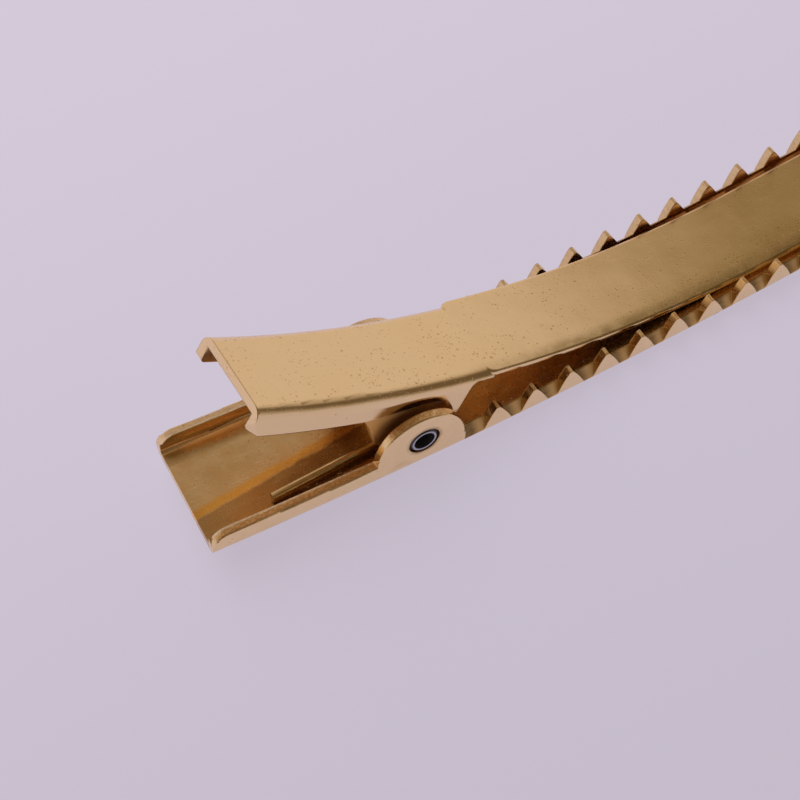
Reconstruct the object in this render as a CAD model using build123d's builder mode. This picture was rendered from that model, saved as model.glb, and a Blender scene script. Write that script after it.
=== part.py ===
from build123d import *
from math import asin, cos, hypot, pi, radians, sin
import os

os.makedirs("parts", exist_ok=True)

# Alligator hair clip, millimetres, +Z up. The clip lies on its curved belly with
# its length along X: the finger levers are at -X and the toothed jaw at +X.
# Side outlines are drawn on the hinge plane, whose origin lies on the belly
# straight below the hinge pin, with local x along the belly and local y upwards.

# Channel body: the lower jaw with its finger lever
belly_radius = 277.8
clip_width = 10.0
wall = 0.7
floor = 0.65
lever_length = 16.63
jaw_length = 53.4
wall_height = 2.05
outer_corner = 0.8
inner_corner = 0.45
lever_corner = 1.3
rim_round = 0.18
block_height = 6.0
below = -6.0
above = 8.0
beyond = 2.0

# Saw teeth along both walls of the jaw
tooth_count = 15
tooth_pitch = 3.17
first_tip = 6.1
tooth_height = 2.68
root_height = 0.52
root_inside = 1.4
gap_level = 1.62
root_flat = 0.05
gap_overhang = 0.6
tip_flat = 0.24
front_flank = 1.12
back_flank = 1.02
flank_bulge = 0.07
nose_radius = 3.2

# Hinge
pin_height = 2.9
pin_diameter = 2.5
pin_bore = 1.64
pin_chamfer = 0.28
ear_right = 3.44
running_clearance = 0.06

# Arm: the upper jaw with the other finger lever
arm_width = 7.5
arm_sheet = 0.7
arm_gap = 0.1
arm_bend = 0.95
crown_radius = 68.5
crown_touch = 32.3
arm_tip = 51.9
lever_end = -11.5
lever_skew = 0.06
bevel_start = -11.8
flange_height = 2.2
flange_corner = 0.45
shell_end = 6.5
lip = 0.5
arm_block = 12.0
arm_above = 16.0
strip_start = 5.9
strip_width = 7.4
strip_shift = 0.15
strip_middle = 42.0
strip_round = 0.22
strip_relief = 0.3
tip_corner = 1.6
start_corner = 0.9

# Torsion spring
wire = 0.66
coil_radius = 1.72
coil_pitch = 0.72
coil_turns = 5
coil_side = 2.4
upper_leg_angle = 29.8
upper_leg_length = 10.0
lower_leg_angle = -1.3
lower_leg_length = 11.2

# The hinge plane
hinge_station = (jaw_length - lever_length) / 2
tilt = hinge_station / belly_radius
hinge_plane = Plane(
    origin=(-belly_radius * sin(tilt), 0, belly_radius * (1 - cos(tilt))),
    x_dir=(cos(tilt), 0, -sin(tilt)),
    z_dir=(0, -1, 0),
)


def belly(s, height):
    """Point at arc length s from the hinge, at a height above the belly."""
    angle = s / belly_radius
    reach = belly_radius - height
    return (reach * sin(angle), belly_radius - reach * cos(angle))


middle = 18.0
jaw_reach = belly_radius * sin((jaw_length - hinge_station) / belly_radius)


def is_rim(edge):
    """Top edge of a lever wall or an ear, on the channel's outer side."""
    middle = hinge_plane.to_local_coords(edge @ 0.5)
    level = belly_radius - hypot(middle.X, belly_radius - middle.Y)
    if abs(abs(middle.Z) - clip_width / 2) > 0.01:
        return False
    if hypot(middle.X, middle.Y - pin_height) < pin_diameter / 2 + 0.05:
        return False
    return middle.X < ear_right - 0.1 and level > wall_height - 0.05


# The crown line of the arm: near the tip it runs parallel to the channel floor,
# and from crown_touch back to the lever it is one tighter arc.
crown_height = floor + arm_gap + arm_sheet
touch = crown_touch / belly_radius
crown_centre = (
    (belly_radius - crown_height - crown_radius) * sin(touch),
    belly_radius - (belly_radius - crown_height - crown_radius) * cos(touch),
)


def crown(x, depth):
    """Point at local x on the tight arc, a depth below the crown."""
    reach = crown_radius + depth
    rise = (reach**2 - (x - crown_centre[0]) ** 2) ** 0.5
    return (x, crown_centre[1] - rise)


def bulged(start, end, bulge):
    """Middle point of a flank that bulges up from a straight line."""
    run = end[0] - start[0]
    rise = end[1] - start[1]
    size = hypot(run, rise)
    side = 1 if run > 0 else -1
    return (
        (start[0] + end[0]) / 2 - bulge * side * rise / size,
        (start[1] + end[1]) / 2 + bulge * side * run / size,
    )


# ------------------------------------------------- side outline of the channel
# lever wall, hinge ear and saw teeth
with BuildPart() as outline:
    with BuildSketch(hinge_plane):
        with BuildLine():
            corner = lever_length - lever_corner
            Line(belly(-lever_length, below), belly(-lever_length, wall_height - lever_corner))
            RadiusArc(
                belly(-lever_length, wall_height - lever_corner),
                belly(-corner, wall_height),
                lever_corner,
            )
            ThreePointArc(
                belly(-corner, wall_height), belly(-9, wall_height), belly(-3.78, wall_height)
            )
            Spline(
                belly(-3.78, wall_height),
                (-3.45, 3.2),
                (-2.43, 4.75),
                (-1.15, 5.4),
                (0.1, 5.5),
                (1.1, 5.25),
                (2.1, 4.65),
                (3.0, 3.45),
                (ear_right, 1.7),
            )
            Line((ear_right, 1.7), belly(ear_right, root_height))
            here = belly(ear_right, root_height)
            for i in range(tooth_count):
                tip = first_tip + i * tooth_pitch
                foot = belly(tip - back_flank, root_height)
                point = belly(tip, tooth_height)
                Line(here, foot)
                ThreePointArc(foot, bulged(foot, point, flank_bulge), point)
                here = belly(tip + tip_flat, tooth_height)
                Line(point, here)
                foot = belly(tip + tip_flat + front_flank, root_height)
                ThreePointArc(here, bulged(here, foot, flank_bulge), foot)
                here = foot
            Line(here, belly(jaw_length, root_height))
            Line(belly(jaw_length, root_height), belly(jaw_length, below))
            Line(belly(jaw_length, below), belly(-lever_length, below))
        make_face()
    extrude(amount=clip_width, both=True)

# The teeth were cut before the sheet was folded, so the gaps between them end in
# the fold and slope down and out: this is what stays of the walls under the gaps.
with BuildPart() as gap_floor:
    with BuildSketch(hinge_plane):
        with BuildLine():
            ThreePointArc(
                belly(-lever_length, gap_level),
                belly(middle, gap_level),
                belly(jaw_length, gap_level),
            )
            Line(belly(jaw_length, gap_level), belly(jaw_length, below))
            Line(belly(jaw_length, below), belly(-lever_length, below))
            Line(belly(-lever_length, below), belly(-lever_length, gap_level))
        make_face()
    extrude(amount=clip_width / 2 + gap_overhang, both=True)
    gap_bar = gap_floor.part
    top_edges = gap_floor.edges().filter_by(GeomType.CIRCLE)
    top_face = gap_floor.faces().sort_by(Axis.Z)[-1]
    slope = (root_inside - root_height) / (wall - root_flat)
    run = wall + gap_overhang - root_flat + (gap_level - root_inside) / slope
    chamfer(top_edges, run, slope * run, reference=top_face)

# ---------------------------------------------------------------- channel body
with BuildPart() as channel:
    # a curved bar with rounded lower corners
    with BuildSketch(hinge_plane):
        with BuildLine():
            ThreePointArc(belly(-lever_length, 0), belly(middle, 0), belly(jaw_length, 0))
            Line(belly(jaw_length, 0), belly(jaw_length, block_height))
            ThreePointArc(
                belly(jaw_length, block_height),
                belly(middle, block_height),
                belly(-lever_length, block_height),
            )
            Line(belly(-lever_length, block_height), belly(-lever_length, 0))
        make_face()
    extrude(amount=clip_width / 2, both=True)
    long_edges = channel.edges().filter_by(GeomType.CIRCLE)
    fillet(long_edges.sort_by(SortBy.RADIUS)[-2:], outer_corner)
    # hollowed into a channel that is open at both ends
    with BuildSketch(hinge_plane):
        with BuildLine():
            ThreePointArc(
                belly(-lever_length - beyond, floor),
                belly(middle, floor),
                belly(jaw_length + beyond, floor),
            )
            Line(belly(jaw_length + beyond, floor), belly(jaw_length + beyond, above))
            ThreePointArc(
                belly(jaw_length + beyond, above),
                belly(middle, above),
                belly(-lever_length - beyond, above),
            )
            Line(belly(-lever_length - beyond, above), belly(-lever_length - beyond, floor))
        make_face()
    extrude(amount=clip_width / 2 - wall, both=True, mode=Mode.SUBTRACT)
    inside = channel.edges().filter_by(GeomType.CIRCLE).filter_by(
        lambda e: abs(e.radius - (belly_radius - floor)) < 0.01
    )
    fillet(inside, inner_corner)
    add(outline.part + gap_bar, mode=Mode.INTERSECT)
    # hinge pin hole through both ears
    with BuildSketch(hinge_plane):
        with Locations((0, pin_height)):
            Circle(pin_diameter / 2)
    extrude(amount=clip_width, both=True, mode=Mode.SUBTRACT)
    # rounded nose in plan
    with BuildSketch(Plane.XY):
        with Locations((jaw_reach - clip_width, 0)):
            RectangleRounded(2 * clip_width, clip_width, nose_radius)
        with Locations((jaw_reach - jaw_length - clip_width, 0)):
            Rectangle(2 * jaw_length, clip_width)
    extrude(amount=jaw_length, both=True, mode=Mode.INTERSECT)
    # softened outer rim along the lever walls and over the ears
    rim = channel.edges().filter_by(is_rim)
    fillet(rim, rim_round)
    # gaps sloping down and out
    add(outline.part + gap_floor.part, mode=Mode.INTERSECT)
channel.part.label = "channel_body"
export_step(channel.part, "parts/channel_body.step")

# ------------------------------------------------- the jaw strip of the arm
# a flat curved sheet down to the tip, with eased edges
strip_plane = hinge_plane.offset(-strip_shift)
top_touch = belly(crown_touch, crown_height)
low_touch = belly(crown_touch, crown_height - arm_sheet)
top_tip = belly(arm_tip, crown_height)
low_tip = belly(arm_tip, crown_height - arm_sheet)
with BuildPart() as strip:
    with BuildSketch(strip_plane):
        with BuildLine():
            ThreePointArc(crown(strip_start, 0), crown(middle, 0), top_touch)
            ThreePointArc(top_touch, belly(strip_middle, crown_height), top_tip)
            Line(top_tip, low_tip)
            ThreePointArc(low_tip, belly(strip_middle, crown_height - arm_sheet), low_touch)
            ThreePointArc(low_touch, crown(middle, arm_sheet), crown(strip_start, arm_sheet))
            Line(crown(strip_start, arm_sheet), crown(strip_start, 0))
        make_face()
    extrude(amount=strip_width / 2, both=True)
    short_edges = strip.edges().filter_by(GeomType.LINE).filter_by(lambda e: e.length < 1)
    fillet(short_edges.group_by(Axis.X)[-1], tip_corner)
    short_edges = strip.edges().filter_by(GeomType.LINE).filter_by(lambda e: e.length < 1)
    fillet(short_edges.group_by(Axis.X)[0], start_corner)
    long_edges = strip.edges().filter_by(GeomType.CIRCLE)
    long_edges = long_edges.filter_by(lambda e: e.radius > crown_radius - 1)
    upper = long_edges.filter_by(
        lambda e: min(abs(e.radius - crown_radius), abs(e.radius - belly_radius + crown_height))
        < 0.01
    )
    fillet(upper, strip_round)
    lower = strip.edges().filter_by(GeomType.CIRCLE).filter_by(
        lambda e: min(
            abs(e.radius - crown_radius - arm_sheet),
            abs(e.radius - belly_radius + crown_height - arm_sheet),
        )
        < 0.01
    )
    chamfer(lower, strip_relief)

# ------------------------------------------------------------------------ arm
half = arm_width / 2
lean = asin((crown_centre[0] - lever_end) / crown_radius)


def facing(x, y, z):
    """Direction given in the hinge plane's own axes."""
    return Vector(hinge_plane.from_local_coords((x, y, z))) - Vector(hinge_plane.origin)


lever_cut = Plane(
    origin=hinge_plane.from_local_coords((*crown(lever_end, 0), 0)),
    z_dir=facing(-cos(lean), sin(lean), lever_skew),
)
flange_bevel = Plane(
    origin=hinge_plane.from_local_coords((bevel_start, 0, half)),
    z_dir=facing(-0.81, 0, 0.58),
)

def is_flange_corner(edge):
    """Lower end corner of a lever flange, across the sheet."""
    middle = hinge_plane.to_local_coords(edge @ 0.5)
    run = edge % 0.5
    low = crown(lever_end, 1)[1]
    return edge.length < 1 and abs(run.Y) > 0.99 and middle.X < lever_end and middle.Y < low


with BuildPart() as arm:
    # folded lever: a deep block under the crown line with rounded top corners,
    # hollowed from below to sheet thickness
    with BuildSketch(hinge_plane):
        with BuildLine():
            ThreePointArc(
                crown(lever_end - beyond, 0), crown(-4, 0), crown(shell_end, 0)
            )
            Line(crown(shell_end, 0), crown(shell_end, arm_block))
            Line(crown(shell_end, arm_block), crown(lever_end - beyond, arm_block))
            Line(crown(lever_end - beyond, arm_block), crown(lever_end - beyond, 0))
        make_face()
    extrude(amount=half, both=True)
    folds = arm.edges().filter_by(GeomType.CIRCLE)
    fillet(folds, arm_bend)
    with BuildSketch(hinge_plane):
        with BuildLine():
            ThreePointArc(
                crown(lever_end - 3, arm_sheet),
                crown(-4, arm_sheet),
                crown(shell_end + 1, arm_sheet),
            )
            Line(crown(shell_end + 1, arm_sheet), crown(shell_end + 1, arm_block + beyond))
            Line(crown(shell_end + 1, arm_block + beyond), crown(lever_end - 3, arm_block + beyond))
            Line(crown(lever_end - 3, arm_block + beyond), crown(lever_end - 3, arm_sheet))
        make_face()
    extrude(amount=half - arm_sheet, both=True, mode=Mode.SUBTRACT)
    # side outline of the flange and the hinge lug
    with BuildSketch(hinge_plane):
        with BuildLine():
            flange_end = crown(-4.05, flange_height)
            low_end = crown(lever_end - 1.5, flange_height)
            Line((lever_end - 1.5, arm_above), low_end)
            ThreePointArc(low_end, crown(-8, flange_height), flange_end)
            Line(flange_end, (-3.75, 5.6))
            Line((-3.75, 5.6), (-3.35, 3.3))
            Line((-3.35, 3.3), (-2.6, 2.35))
            lug_left = (-1.5, pin_height - 1.246)
            Line((-2.6, 2.35), lug_left)
            ThreePointArc(
                lug_left,
                (-0.45, pin_height - 1.897),
                (0.5, pin_height - 1.885),
            )
            Line((0.5, pin_height - 1.885), (2.55, 1.35))
            Line((2.55, 1.35), (3.42, 2.55))
            Line((3.42, 2.55), (4.4, 4.6))
            Spline((4.4, 4.6), (4.75, 4.98), crown(5.3, lip), tangents=((1, 2), (2, -0.7)))
            Line(crown(5.3, lip), crown(shell_end + 1, lip))
            Line(crown(shell_end + 1, lip), (shell_end + 1, arm_above))
            Line((shell_end + 1, arm_above), (lever_end - 1.5, arm_above))
        make_face()
    extrude(amount=half + 1, both=True, mode=Mode.INTERSECT)
    # the lever's square end, a little askew
    split(bisect_by=lever_cut, keep=Keep.BOTTOM)
    corners = arm.edges().filter_by(is_flange_corner)
    fillet(corners, flange_corner)
    split(bisect_by=flange_bevel, keep=Keep.BOTTOM)
    # the sheet goes on under the notch and into the strip
    with BuildSketch(hinge_plane):
        with BuildLine():
            ThreePointArc(crown(4.5, 0), crown(6, 0), crown(shell_end, 0))
            Line(crown(shell_end, 0), crown(shell_end, arm_sheet))
            ThreePointArc(
                crown(shell_end, arm_sheet), crown(6, arm_sheet), crown(4.5, arm_sheet)
            )
            Line(crown(4.5, arm_sheet), crown(4.5, 0))
        make_face()
    extrude(amount=half - arm_bend - 0.02, both=True)
    add(strip.part)
    # holes through the lugs for the hinge pin
    with BuildSketch(hinge_plane):
        with Locations((0, pin_height)):
            Circle(pin_diameter / 2 + running_clearance)
    extrude(amount=clip_width, both=True, mode=Mode.SUBTRACT)
arm.part.label = "arm"
export_step(arm.part, "parts/arm.step")

# ------------------------------------------------------------------ hinge pin
with BuildPart() as pin:
    with BuildSketch(hinge_plane):
        with Locations((0, pin_height)):
            Circle(pin_diameter / 2)
    extrude(amount=clip_width / 2, both=True)
    chamfer(pin.edges().filter_by(GeomType.CIRCLE), pin_chamfer)
    with BuildSketch(hinge_plane):
        with Locations((0, pin_height)):
            Circle(pin_bore / 2)
    extrude(amount=clip_width, both=True, mode=Mode.SUBTRACT)
pin.part.label = "hinge_pin"
export_step(pin.part, "parts/hinge_pin.step")

# -------------------------------------------------------------- torsion spring
# The wire runs from the lower leg on the channel floor, around the pin between
# the lugs, and out to the upper leg under the arm's lever.
wind_start = radians(lower_leg_angle) - pi / 2
wind_turns = coil_turns + (180 - upper_leg_angle - lower_leg_angle) / 360
wind_origin = hinge_plane.from_local_coords((0, pin_height, coil_side))
wind_out = hinge_plane.from_local_coords(
    (cos(wind_start), pin_height + sin(wind_start), coil_side)
)
wind_plane = Plane(
    origin=wind_origin,
    x_dir=Vector(wind_out) - Vector(wind_origin),
    z_dir=(0, 1, 0),
)
with BuildPart() as spring:
    with BuildLine() as path:
        coil = wind_plane.from_local_coords(
            Edge.make_helix(
                coil_pitch, coil_pitch * wind_turns, coil_radius, lefthand=True
            )
        )
        add(coil)
        lower_end = coil @ 0 - (coil % 0) * lower_leg_length
        Line(lower_end, coil @ 0)
        Line(coil @ 1, coil @ 1 + (coil % 1) * upper_leg_length)
    with BuildSketch(Plane(origin=lower_end, z_dir=coil % 0)):
        Circle(wire / 2)
    sweep(path=path.wires()[0])
spring.part.label = "torsion_spring"
export_step(spring.part, "parts/torsion_spring.step")
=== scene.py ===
import math

import bpy
from mathutils import Euler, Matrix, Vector


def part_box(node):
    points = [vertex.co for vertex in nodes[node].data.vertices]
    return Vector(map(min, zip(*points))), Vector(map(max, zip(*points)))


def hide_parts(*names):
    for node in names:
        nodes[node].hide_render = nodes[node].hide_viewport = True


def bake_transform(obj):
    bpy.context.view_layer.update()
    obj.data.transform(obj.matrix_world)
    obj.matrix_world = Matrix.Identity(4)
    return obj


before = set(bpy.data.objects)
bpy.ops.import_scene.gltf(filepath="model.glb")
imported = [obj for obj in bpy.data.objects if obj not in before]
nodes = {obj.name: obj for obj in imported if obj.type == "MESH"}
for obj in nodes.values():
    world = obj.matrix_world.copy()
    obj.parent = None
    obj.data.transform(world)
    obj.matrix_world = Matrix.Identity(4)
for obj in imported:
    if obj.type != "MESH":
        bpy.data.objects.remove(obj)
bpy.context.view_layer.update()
scene = bpy.context.scene
scene.view_settings.view_transform = "Standard"

# The hinge pin's axis, from its node: a line along Y
low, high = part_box("hinge_pin")
PIN_X = (low[0] + high[0]) / 2
PIN_Z = (low[2] + high[2]) / 2
MM_PER_M = 1000.0


# ------------------------------------------------------------------ node helpers
class Tree:
    """Short calls for building a node tree. Lengths in a material are in mm."""

    def __init__(self, tree):
        self.tree = tree

    def node(self, kind, **settings):
        n = self.tree.nodes.new(kind)
        for key, value in settings.items():
            setattr(n, key, value)
        return n

    def put(self, socket, value):
        if isinstance(value, bpy.types.NodeSocket):
            self.tree.links.new(value, socket)
        elif value is not None:
            socket.default_value = value

    def math(self, op, a, b=None, clamp=False):
        n = self.node("ShaderNodeMath", operation=op, use_clamp=clamp)
        self.put(n.inputs[0], a)
        self.put(n.inputs[1], b)
        return n.outputs[0]

    def add(self, a, b, clamp=False):
        return self.math("ADD", a, b, clamp)

    def times(self, a, b, clamp=False):
        return self.math("MULTIPLY", a, b, clamp)

    def minus(self, a, b):
        return self.math("SUBTRACT", a, b)

    def absolute(self, value):
        return self.math("ABSOLUTE", value)

    def most(self, *values):
        result = values[0]
        for value in values[1:]:
            result = self.math("MAXIMUM", result, value)
        return result

    def ramp(self, value, low, high, to_low=0.0, to_high=1.0):
        n = self.node("ShaderNodeMapRange", interpolation_type="SMOOTHSTEP")
        self.put(n.inputs["Value"], value)
        self.put(n.inputs["From Min"], low)
        self.put(n.inputs["From Max"], high)
        self.put(n.inputs["To Min"], to_low)
        self.put(n.inputs["To Max"], to_high)
        return n.outputs["Result"]

    def mix(self, share, a, b):
        n = self.node("ShaderNodeMix", data_type="RGBA")
        self.put(n.inputs[0], share)
        self.put(n.inputs[6], a)
        self.put(n.inputs[7], b)
        return n.outputs[2]

    def tint(self, colour, mask, amount, other):
        return self.mix(self.times(mask, amount), colour, other)

    def heap(self, base, *layers):
        """base plus each (value, weight), held between 0 and 1 at the end."""
        for value, weight in layers[:-1]:
            base = self.add(base, self.times(value, weight))
        value, weight = layers[-1]
        return self.add(base, self.times(value, weight), True)

    def from_pin(self, x, z):
        """Distance from the hinge pin's axis, and the height above it."""
        across = self.minus(x, PIN_X * MM_PER_M)
        up = self.minus(z, PIN_Z * MM_PER_M)
        squares = self.add(self.times(across, across), self.times(up, up))
        return self.math("SQRT", squares), up

    def noise(self, where, scale, detail=2.0, rough=0.5, out="Fac"):
        n = self.node("ShaderNodeTexNoise")
        self.put(n.inputs["Vector"], where)
        n.inputs["Scale"].default_value = scale
        n.inputs["Detail"].default_value = detail
        n.inputs["Roughness"].default_value = rough
        return n.outputs[out]

    def axes(self, where):
        n = self.node("ShaderNodeSeparateXYZ")
        self.put(n.inputs[0], where)
        return n.outputs

    def moved(self, where, scale=(1, 1, 1), turn=(0, 0, 0), shift=(0, 0, 0)):
        n = self.node("ShaderNodeMapping")
        self.put(n.inputs["Vector"], where)
        n.inputs["Scale"].default_value = scale
        n.inputs["Rotation"].default_value = turn
        n.inputs["Location"].default_value = shift
        return n.outputs["Vector"]

    def shaken(self, where, scale, amount):
        """The same place, moved about a little, so that round spots get ragged."""
        n = self.node("ShaderNodeVectorMath", operation="MULTIPLY_ADD")
        self.put(n.inputs[0], self.noise(where, scale, 2.0, out="Color"))
        n.inputs[1].default_value = (amount, amount, amount)
        self.put(n.inputs[2], where)
        return n.outputs[0]

    def specks(self, where, per_mm, share, radius, gate=1.0, soft=0.35):
        """Scattered spots: share of the cells has one, up to radius cells wide."""
        n = self.node("ShaderNodeTexVoronoi")
        self.put(n.inputs["Vector"], where)
        n.inputs["Scale"].default_value = per_mm
        chance = self.axes(n.outputs["Color"])[0]
        size = self.ramp(chance, 1.0 - share, 1.0, 0.0, radius)
        size = self.times(size, gate)
        inner = self.times(size, 1.0 - soft)
        outer = self.add(size, 0.0001)
        return self.ramp(n.outputs["Distance"], inner, outer, 1.0, 0.0)

    def lines(self, where, turn, stretch, low=0.66, high=0.72):
        """Fine straight scratches along one direction."""
        n = self.noise(self.moved(where, (0.25, stretch, 0.6), (0, 0, turn)), 1.0, 2.0)
        return self.ramp(n, low, high)

    def bump(self, height, distance, strength=1.0, normal=None):
        n = self.node("ShaderNodeBump")
        self.put(n.inputs["Height"], height)
        n.inputs["Distance"].default_value = distance
        self.put(n.inputs["Strength"], strength)
        self.put(n.inputs["Normal"], normal)
        return n.outputs["Normal"]


def new_material(name):
    m = bpy.data.materials.new(name)
    m.use_nodes = True
    t = Tree(m.node_tree)
    m.node_tree.nodes.clear()
    out = t.node("ShaderNodeOutputMaterial")
    shader = t.node("ShaderNodeBsdfPrincipled")
    t.put(out.inputs["Surface"], shader.outputs[0])
    coords = t.node("ShaderNodeTexCoord")
    mm = t.node("ShaderNodeVectorMath", operation="SCALE")
    t.put(mm.inputs[0], coords.outputs["Object"])
    mm.inputs["Scale"].default_value = MM_PER_M
    return m, t, shader, mm.outputs[0]


# Places in mm: the teeth, the arm's crown arc, the painted reflection band along the lever's
# floor
TOOTH_PITCH = 3.17
FIRST_TIP_X = -12.29
CROWN_X = 10.41
CROWN_Z = 70.2
CROWN_RADIUS = 68.5
REFLECTION_SLOPE = -0.134
REFLECTION_START = 3.0
WALL_INSIDE = (4.25, 4.35)

GOLD = (0.93, 0.69, 0.385, 1)
OLIVE = (0.70, 0.50, 0.215, 1)
PIT = (0.70, 0.44, 0.17, 1)
DEEP = (0.26, 0.13, 0.035, 1)


# ---------------------------------------------------------------- gold of the arm
m, t, s, mm = new_material("arm_gold")
x, y, z = t.axes(mm)
geometry = t.node("ShaderNodeNewGeometry")
upper_face = t.ramp(t.axes(geometry.outputs["True Normal"])[2], 0.35, 0.7)
broad = t.noise(mm, 0.18, 3.0)
patch = t.ramp(t.noise(mm, 0.42, 2.0), 0.36, 0.62)
ragged = t.shaken(mm, 6.0, 0.1)
dense = t.times(
    t.add(t.times(patch, 0.65), 0.35), t.add(t.times(upper_face, 0.75), 0.25)
)
pits = t.most(
    t.specks(ragged, 3.4, 0.6, 0.42, dense, 0.5),
    t.specks(t.moved(ragged, shift=(4, 9, 2)), 5.2, 0.5, 0.42, dense, 0.5),
    t.specks(t.moved(ragged, shift=(1, 3, 7)), 1.4, 0.25, 0.2, 1.0, 0.4),
)
drawn_out = t.moved(t.shaken(mm, 2.5, 0.35), (0.45, 1.2, 1.0), (0, 0, 0.4))
long_marks = t.specks(drawn_out, 1.2, 0.2, 0.2, patch, 0.5)
# tarnish with painted shade: darker olive creeps in along the near edge, where the rounded
# edge turns away from the light, and towards the jaw tip, where the reflection darkens
towards_tip = t.ramp(x, -9.0, 14.0)
near_edge = t.ramp(t.add(y, t.times(towards_tip, -1.3)), -1.6, -3.5)
tarnish_and_shade = t.most(t.times(near_edge, 0.95), t.ramp(x, -4.0, 20.0, 0.62, 0.9))
tarnish_and_shade = t.times(tarnish_and_shade, towards_tip)
# painted shade: a dark band just inside the near edge of the jaw, where the rounded edge
# turns away from the light, patchy
shadow_line = t.times(t.ramp(y, -2.2, -3.3), t.ramp(y, -3.52, -3.42))
shadow_line = t.times(shadow_line, t.ramp(x, -13.0, -3.0, 0.3, 1.0))
shadow_line = t.times(shadow_line, t.ramp(x, -13.5, -12.0))
shadow_line = t.times(shadow_line, t.ramp(t.noise(mm, 0.8, 4.0, 0.6), 0.3, 0.6, 0.55, 1.0))
tarnish_and_shade = t.times(tarnish_and_shade, t.ramp(t.noise(mm, 0.5, 4.0, 0.6), 0.25, 0.65, 0.55, 1.0))
# dark grime and a few bright glints, painted highlights, along the dirty part of that edge
grime_and_glint_edge = t.times(near_edge, towards_tip)
grime_and_glint_edge = t.times(grime_and_glint_edge, t.ramp(t.noise(mm, 0.6, 3.0), 0.3, 0.6))
grime_and_glint_edge = t.ramp(grime_and_glint_edge, 0.05, 0.5)
grime = t.times(t.specks(t.shaken(mm, 9.0, 0.05), 6.5, 0.75, 0.45), grime_and_glint_edge)
glints = t.times(t.specks(t.moved(mm, shift=(3, 5, 1)), 5.5, 0.4, 0.3), grime_and_glint_edge)
colour = t.mix(t.ramp(broad, 0.35, 0.7, 0.0, 0.35), GOLD, (0.90, 0.655, 0.34, 1))
colour = t.tint(colour, tarnish_and_shade, 0.85, OLIVE)
# painted shade: darker still towards the jaw tip, and browner along the near edge
colour = t.mix(t.ramp(x, 8.0, 22.0, 0.0, 0.4), colour, (0.58, 0.41, 0.16, 1))
colour = t.tint(colour, t.times(near_edge, tarnish_and_shade), 0.5, (0.55, 0.38, 0.14, 1))
colour = t.tint(colour, shadow_line, 0.8, (0.34, 0.235, 0.085, 1))
colour = t.tint(colour, t.most(pits, long_marks), 0.75, PIT)
colour = t.tint(colour, grime, 0.7, DEEP)
# painted shade: the lugs below the lever's sides are tinted browner than the sides, standing
# in for the set-back lug in shadow, reflecting the ear's brown inner side
along = t.add(x, -CROWN_X)
up = t.add(z, -CROWN_Z)
squares = t.add(t.times(along, along), t.times(up, up))
depth = t.add(t.math("SQRT", squares), -CROWN_RADIUS)
lug_edge = t.ramp(x, -23.0, -16.5, 2.15, 1.4)
lug_shade = t.times(t.ramp(t.minus(depth, lug_edge), -0.05, 0.12), t.ramp(x, -24.0, -22.5))
lug_shade = t.times(lug_shade, t.ramp(x, -15.6, -17.0))
colour = t.tint(colour, lug_shade, 0.9, (0.78, 0.45, 0.14, 1))
# painted highlight: the rim along the far edge is tinted pale copper and made duller,
# standing in for the bright line it catches
far_rim_highlight = t.times(t.ramp(y, 3.6, 3.68), t.ramp(x, -8.0, 0.0))
colour = t.tint(colour, far_rim_highlight, 0.6, (0.98, 0.66, 0.42, 1))
scratches = t.most(t.lines(mm, 0.25, 11.0), t.lines(mm, -0.75, 8.0, 0.69, 0.74))
rough = t.heap(
    0.13,
    (tarnish_and_shade, 0.12),
    (far_rim_highlight, 0.35),
    (lug_shade, 0.4),
    (t.ramp(t.noise(mm, 1.6, 4.0), 0.35, 0.75), 0.05),
    (scratches, 0.05),
    (t.most(pits, grime), 0.16),
    (shadow_line, 0.1),
    (glints, 0.35),
)
# painted highlights: the glints turn the colour pale
t.put(s.inputs["Base Color"], t.mix(t.times(glints, 0.5), colour, (1.0, 0.9, 0.7, 1)))
t.put(s.inputs["Roughness"], rough)
t.put(s.inputs["Metallic"], t.add(1.0, t.times(far_rim_highlight, -0.6)))
edge = t.node("ShaderNodeBevel", samples=8)
edge.inputs["Radius"].default_value = 0.00014
normal = t.bump(t.noise(mm, 0.20, 1.0), 0.00010, 1.0, edge.outputs[0])
normal = t.bump(t.noise(mm, 0.9, 2.0), 0.000010, 1.0, normal)
normal = t.bump(scratches, 0.000004, 0.5, normal)
normal = t.bump(t.minus(1.0, t.most(pits, long_marks, grime)), 0.000010, 0.7, normal)
t.put(s.inputs["Normal"], normal)
arm_gold = m

# ------------------------------------------------------------ gold of the channel
m, t, s, mm = new_material("body_gold")
x, y, z = t.axes(mm)
geometry = t.node("ShaderNodeNewGeometry")
nx, ny, nz = t.axes(geometry.outputs["Normal"])
off_middle = t.absolute(y)
inside = t.ramp(off_middle, WALL_INSIDE[1], WALL_INSIDE[0])
upward = t.ramp(nz, 0.6, 0.9)
floor_face = t.times(inside, upward)
ragged = t.shaken(mm, 6.0, 0.1)
patch = t.ramp(t.noise(mm, 0.5, 2.0), 0.38, 0.62)
pits = t.most(
    t.specks(ragged, 4.0, 0.35, 0.3, patch),
    t.specks(t.moved(ragged, shift=(4, 9, 2)), 2.0, 0.2, 0.16),
)
by_near_wall = t.times(t.ramp(y, -0.8, -2.2), t.ramp(x, -32.0, -28.0))
light_dust = t.moved(t.shaken(mm, 8.0, 0.2), shift=(5, 2, 8))
thick_dust = t.moved(t.shaken(mm, 8.0, 0.25), shift=(2, 6, 1))
dust = t.most(
    t.specks(light_dust, 4.5, 0.3, 0.2),
    t.specks(thick_dust, 4.5, 0.6, 0.34, by_near_wall),
)
dust = t.times(dust, inside)
mottle = t.ramp(t.noise(mm, 0.9, 5.0, 0.62), 0.32, 0.68)
lit_far_side = t.ramp(y, -0.5, 0.5)
# the sawn and sheared edges are duller and browner than the faces
edges = t.times(upward, t.minus(1.0, inside))
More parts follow.
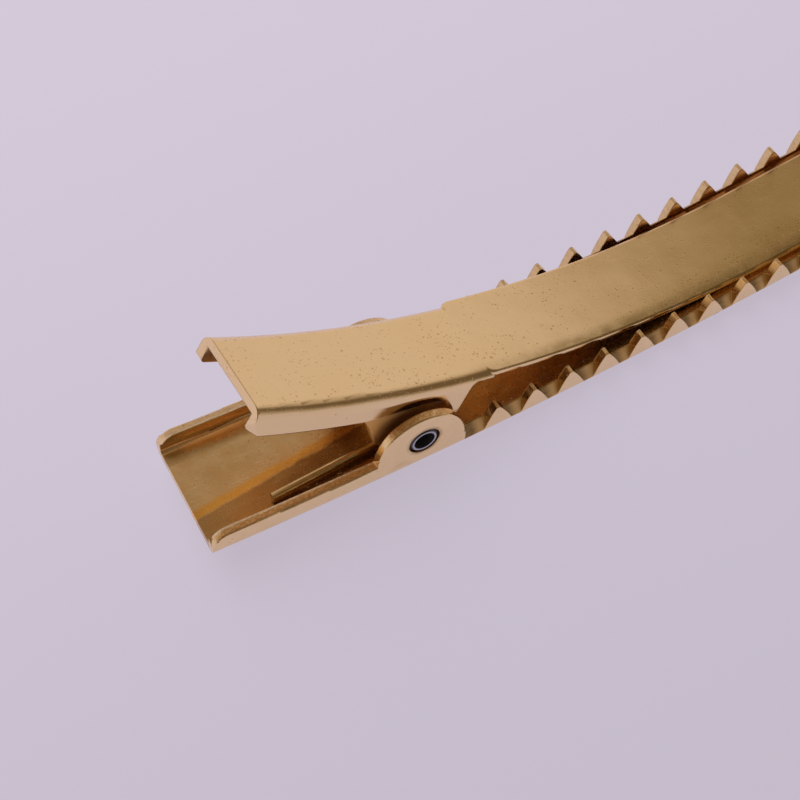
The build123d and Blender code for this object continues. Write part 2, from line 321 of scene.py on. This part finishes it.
# the sloping gaps between the teeth: the brown of the shear, with painted shade across each
# gap
gaps = t.times(t.ramp(nz, 0.3, 0.4), t.ramp(nz, 0.72, 0.66))
gaps = t.times(gaps, t.ramp(t.absolute(ny), 0.6, 0.7))
gaps = t.times(gaps, t.ramp(x, -16.0, -15.0))
colour = t.tint(GOLD, mottle, 0.4, (0.86, 0.62, 0.32, 1))
# painted reflection: the channel's floor is tinted darker orange, patchy, standing in for the
# gold reflecting gold inside the channel
floor_reflection_tone = t.add(0.2, t.times(mottle, 0.45))
colour = t.tint(colour, floor_face, floor_reflection_tone, (0.84, 0.53, 0.22, 1))
worn = t.ramp(t.noise(t.moved(mm, (1.0, 1.0, 3.0)), 3.0, 4.0, 0.65), 0.4, 0.62)
# painted light: the edges' tone is browner on the near side and paler on the far side
rim = t.mix(lit_far_side, (0.72, 0.41, 0.14, 1), (0.90, 0.66, 0.40, 1))
colour = t.tint(colour, edges, t.add(0.35, t.times(worn, 0.5)), rim)
# painted shade: each gap turns from dark brown to light across one tooth pitch, as if its
# rounded root were shaded on one side
along = t.times(t.add(x, -FIRST_TIP_X), 1.0 / TOOTH_PITCH)
phase = t.math("FRACT", along)
gap_shading = t.mix(
    t.ramp(phase, 0.38, 0.62), (0.30, 0.19, 0.07, 1), (0.85, 0.55, 0.22, 1)
)
colour = t.tint(colour, gaps, t.add(0.75, t.times(worn, 0.2)), gap_shading)
# the teeth's flanks are streaked by the shear
flank = t.times(t.ramp(t.absolute(nx), 0.3, 0.5), t.ramp(off_middle, *WALL_INSIDE))
flank = t.times(flank, t.ramp(x, -14.5, -14.0))
streaks = t.ramp(t.noise(t.moved(mm, (5.0, 1.0, 5.0)), 1.0, 3.0, 0.6), 0.35, 0.7)
streak_tone = t.add(0.25, t.times(streaks, 0.35))
colour = t.tint(colour, flank, streak_tone, (0.62, 0.40, 0.15, 1))
# painted shade: a brown foot along the walls' inner fillets, then painted reflections on the
# floor of the lever end
wall_foot_shade = t.times(t.times(inside, t.ramp(off_middle, 3.5, 3.95)), t.ramp(nz, 0.98, 0.85))
colour = t.tint(colour, wall_foot_shade, 0.45, (0.85, 0.47, 0.17, 1))
on_lever = t.times(inside, t.ramp(x, -17.0, -19.5))
from_wall = t.add(t.add(y, t.times(x, REFLECTION_SLOPE)), t.times(t.noise(mm, 0.7, 2.0), 0.5))
arm_reflection_zone = t.times(t.ramp(from_wall, REFLECTION_START, REFLECTION_START - 0.35), on_lever)
wall_reflection_line = t.times(
    t.ramp(from_wall, REFLECTION_START - 0.3, REFLECTION_START),
    t.ramp(from_wall, REFLECTION_START + 0.75, REFLECTION_START + 0.25),
)
# painted reflections: a dark brown zone, the arm's underside mirrored in the floor, and an
# orange line, the near wall mirrored in it
colour = t.tint(colour, arm_reflection_zone, t.ramp(x, -36.0, -26.0, 0.6, 0.9), (0.44, 0.225, 0.06, 1))
colour = t.tint(colour, t.times(wall_reflection_line, on_lever), 0.9, (1.0, 0.53, 0.10, 1))
# painted shade: a dark olive band at the foot of the far wall on the lever's floor
far_foot_shade = t.times(t.times(t.ramp(y, 2.6, 3.2), t.ramp(y, 3.95, 3.6)), on_lever)
colour = t.tint(colour, far_foot_shade, 0.5, (0.42, 0.29, 0.11, 1))
# a darker ring around the pin's end, and the ear's rubbed marks
from_pin = t.from_pin(x, z)[0]
halo = t.ramp(from_pin, 1.6, 1.25)
halo = t.times(halo, t.ramp(t.noise(mm, 1.2, 3.0), 0.3, 0.65, 0.25, 0.8))
colour = t.mix(halo, colour, (0.42, 0.24, 0.10, 1))
rubbed = t.times(t.lines(mm, 0.55, 6.0, 0.62, 0.7), t.ramp(from_pin, 4.5, 3.2))
colour = t.tint(colour, rubbed, 0.3, (0.62, 0.40, 0.20, 1))
# painted highlight: a pale line along the worn inner top edge of the walls at the lever end
inner_rim_highlight = t.times(t.ramp(off_middle, 4.52, 4.42), t.ramp(x, -20.0, -22.0))
inner_rim_highlight = t.times(edges, inner_rim_highlight)
colour = t.tint(colour, inner_rim_highlight, 0.85, (1.0, 0.86, 0.62, 1))
colour = t.tint(colour, pits, 0.6, PIT)
scratches = t.most(t.lines(mm, 0.3, 10.0), t.lines(mm, 0.9, 7.0, 0.68, 0.74))
rough = t.heap(
    0.15,
    (floor_face, 0.10),
    (edges, t.add(0.12, t.times(worn, 0.15))),
    (mottle, 0.05),
    (scratches, 0.06),
    (pits, 0.2),
    (gaps, 0.2),
    (dust, 0.5),
)
t.put(s.inputs["Base Color"], t.mix(t.times(dust, 0.7), colour, (1.0, 0.93, 0.8, 1)))
t.put(s.inputs["Roughness"], rough)
s.inputs["Metallic"].default_value = 1.0
edge = t.node("ShaderNodeBevel", samples=8)
edge.inputs["Radius"].default_value = 0.00012
normal = t.bump(t.noise(mm, 0.25, 1.0), 0.00018, 1.0, edge.outputs[0])
normal = t.bump(t.noise(mm, 1.1, 3.0), 0.00002, 1.0, normal)
normal = t.bump(worn, 0.00002, t.times(edges, 0.8), normal)
normal = t.bump(scratches, 0.000005, 0.6, normal)
normal = t.bump(t.minus(1.0, pits), 0.00002, 0.7, normal)
t.put(s.inputs["Normal"], normal)
body_gold = m

# ------------------------------------------------------------------ steel pin
m, t, s, mm = new_material("pin_steel")
x, _, z = t.axes(mm)
radius, up = t.from_pin(x, z)
rim = t.ramp(radius, 0.94, 1.0)
bore = t.ramp(radius, 0.85, 0.8)
grain = t.noise(t.moved(mm, (5.0, 1.0, 5.0)), 1.6, 3.0)
colour = t.mix(t.ramp(grain, 0.3, 0.7), (0.52, 0.52, 0.56, 1), (0.36, 0.35, 0.37, 1))
# painted shade: a dark ring over the pin's chamfered edge
colour = t.tint(colour, rim, t.ramp(grain, 0.2, 0.8, 0.95, 0.75), (0.05, 0.035, 0.03, 1))
# painted shade inside the pin's hollow bore, darker towards the top
bore_shade = t.ramp(t.add(t.noise(mm, 2.2, 3.0), t.times(up, 0.45)), 0.3, 0.6, 0.15, 0.97)
colour = t.tint(colour, bore, bore_shade, (0.035, 0.03, 0.028, 1))
t.put(s.inputs["Base Color"], colour)
rough = t.ramp(grain, 0.3, 0.7, 0.2, 0.34)
t.put(s.inputs["Roughness"], t.add(rough, t.times(t.most(rim, bore), 0.2)))
s.inputs["Metallic"].default_value = 1.0
t.put(s.inputs["Normal"], t.bump(grain, 0.00001, 0.6))
pin_steel = m

# ---------------------------------------------------------------- spring wire
m, t, s, mm = new_material("wire_gold")
draw = t.noise(t.moved(mm, (0.5, 6.0, 6.0)), 1.5, 3.0)
spots = t.specks(t.shaken(mm, 6.0, 0.1), 4.0, 0.3, 0.25)
colour = t.mix(t.ramp(draw, 0.3, 0.7), (0.78, 0.62, 0.34, 1), (0.60, 0.45, 0.22, 1))
t.put(s.inputs["Base Color"], t.tint(colour, spots, 0.6, DEEP))
rough = t.ramp(draw, 0.3, 0.7, 0.16, 0.26)
t.put(s.inputs["Roughness"], t.add(rough, t.times(spots, 0.2)))
s.inputs["Metallic"].default_value = 1.0
t.put(s.inputs["Normal"], t.bump(draw, 0.000008, 0.6))
wire_gold = m

for node, material in (
    ("channel_body", body_gold),
    ("arm", arm_gold),
    ("hinge_pin", pin_steel),
    ("torsion_spring", wire_gold),
):
    o = nodes[node]
    o.data.materials.clear()
    o.data.materials.append(material)

# The spring's wire: its mesh is copied into one object with the wire's gold, and the imported
# spring is hidden.
source = nodes["torsion_spring"]
wire = source.data.copy()
wire.transform(source.matrix_world)
coil = bpy.data.objects.new("spring_coil", wire)
scene.collection.objects.link(coil)
coil.data.materials.clear()
coil.data.materials.append(wire_gold)
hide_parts("torsion_spring")
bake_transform(coil)

# ------------------------------------------------------------------------- stage
m, t, s, mm = new_material("pale_floor")
s.inputs["Base Color"].default_value = (0.20, 0.183, 0.214, 1)
s.inputs["Roughness"].default_value = 0.75
s.inputs["Specular IOR Level"].default_value = 0.15
s.inputs["Emission Color"].default_value = (0.60, 0.55, 0.665, 1)
# painted light falloff: the floor's glow is brighter towards the back than the front
t.put(s.inputs["Emission Strength"], t.ramp(t.axes(mm)[1], -55.0, 60.0, 0.72, 0.87))
FLOOR_SIZE = 6.0
FLOOR_Z = -0.0002
bpy.ops.mesh.primitive_grid_add(
    x_subdivisions=4, y_subdivisions=4, size=FLOOR_SIZE, location=(0, 0, FLOOR_Z)
)
floor = bpy.context.object
floor.name = "floor"
floor.data.materials.append(m)

world = bpy.data.worlds.new("studio")
scene.world = world
world.use_nodes = True
t = Tree(world.node_tree)
world.node_tree.nodes.clear()
out = t.node("ShaderNodeOutputWorld")
background = t.node("ShaderNodeBackground")
t.put(out.inputs["Surface"], background.outputs[0])
where = t.node("ShaderNodeTexCoord")
_, y, z = t.axes(where.outputs["Generated"])
# a light tent open at the top and, above the camera, at the front
behind = t.ramp(y, -0.30, 0.22)
height = t.ramp(z, 0.42, 0.92, 1.0, 0.0)
low_front = t.ramp(z, 0.02, 0.30, 0.6, 0.0)
lit = t.most(t.times(behind, height), low_front)
dark = t.mix(behind, (0.15, 0.11, 0.07, 1), (0.30, 0.225, 0.15, 1))
sky = t.mix(lit, dark, (0.67, 0.585, 0.555, 1))
t.put(background.inputs["Color"], sky)
background.inputs["Strength"].default_value = 1.0

light = bpy.data.lights.new("top_soft", "AREA")
light.shape = "DISK"
light.size = 1.1
light.energy = 3.4
light.color = (1.0, 0.97, 1.0)
o = bpy.data.objects.new("top_soft", light)
scene.collection.objects.link(o)
o.location = (-0.1, 0.35, 0.8)
o.rotation_euler = (-o.location).to_track_quat("-Z", "Y").to_euler()
o.visible_glossy = False

# ------------------------------------------------------------------------ camera
camera = bpy.data.cameras.new("camera")
camera.sensor_width = 36.0
camera.lens = 60.9
camera.clip_start = 0.005
camera.clip_end = 20.0
o = bpy.data.objects.new("camera", camera)
scene.collection.objects.link(o)
AIM = Vector((-0.017884, -0.000778, 0.003))
DISTANCE = 0.098522
azimuth = math.radians(-23.925)
elevation = math.radians(57.047)
roll = math.radians(-5.843)
back = Vector(
    (
        math.sin(azimuth) * math.cos(elevation),
        -math.cos(azimuth) * math.cos(elevation),
        math.sin(elevation),
    )
)
o.location = AIM + back * DISTANCE
o.rotation_mode = "QUATERNION"
o.rotation_quaternion = (-back).to_track_quat("-Z", "Y") @ Euler((0, 0, roll)).to_quaternion()
scene.camera = o
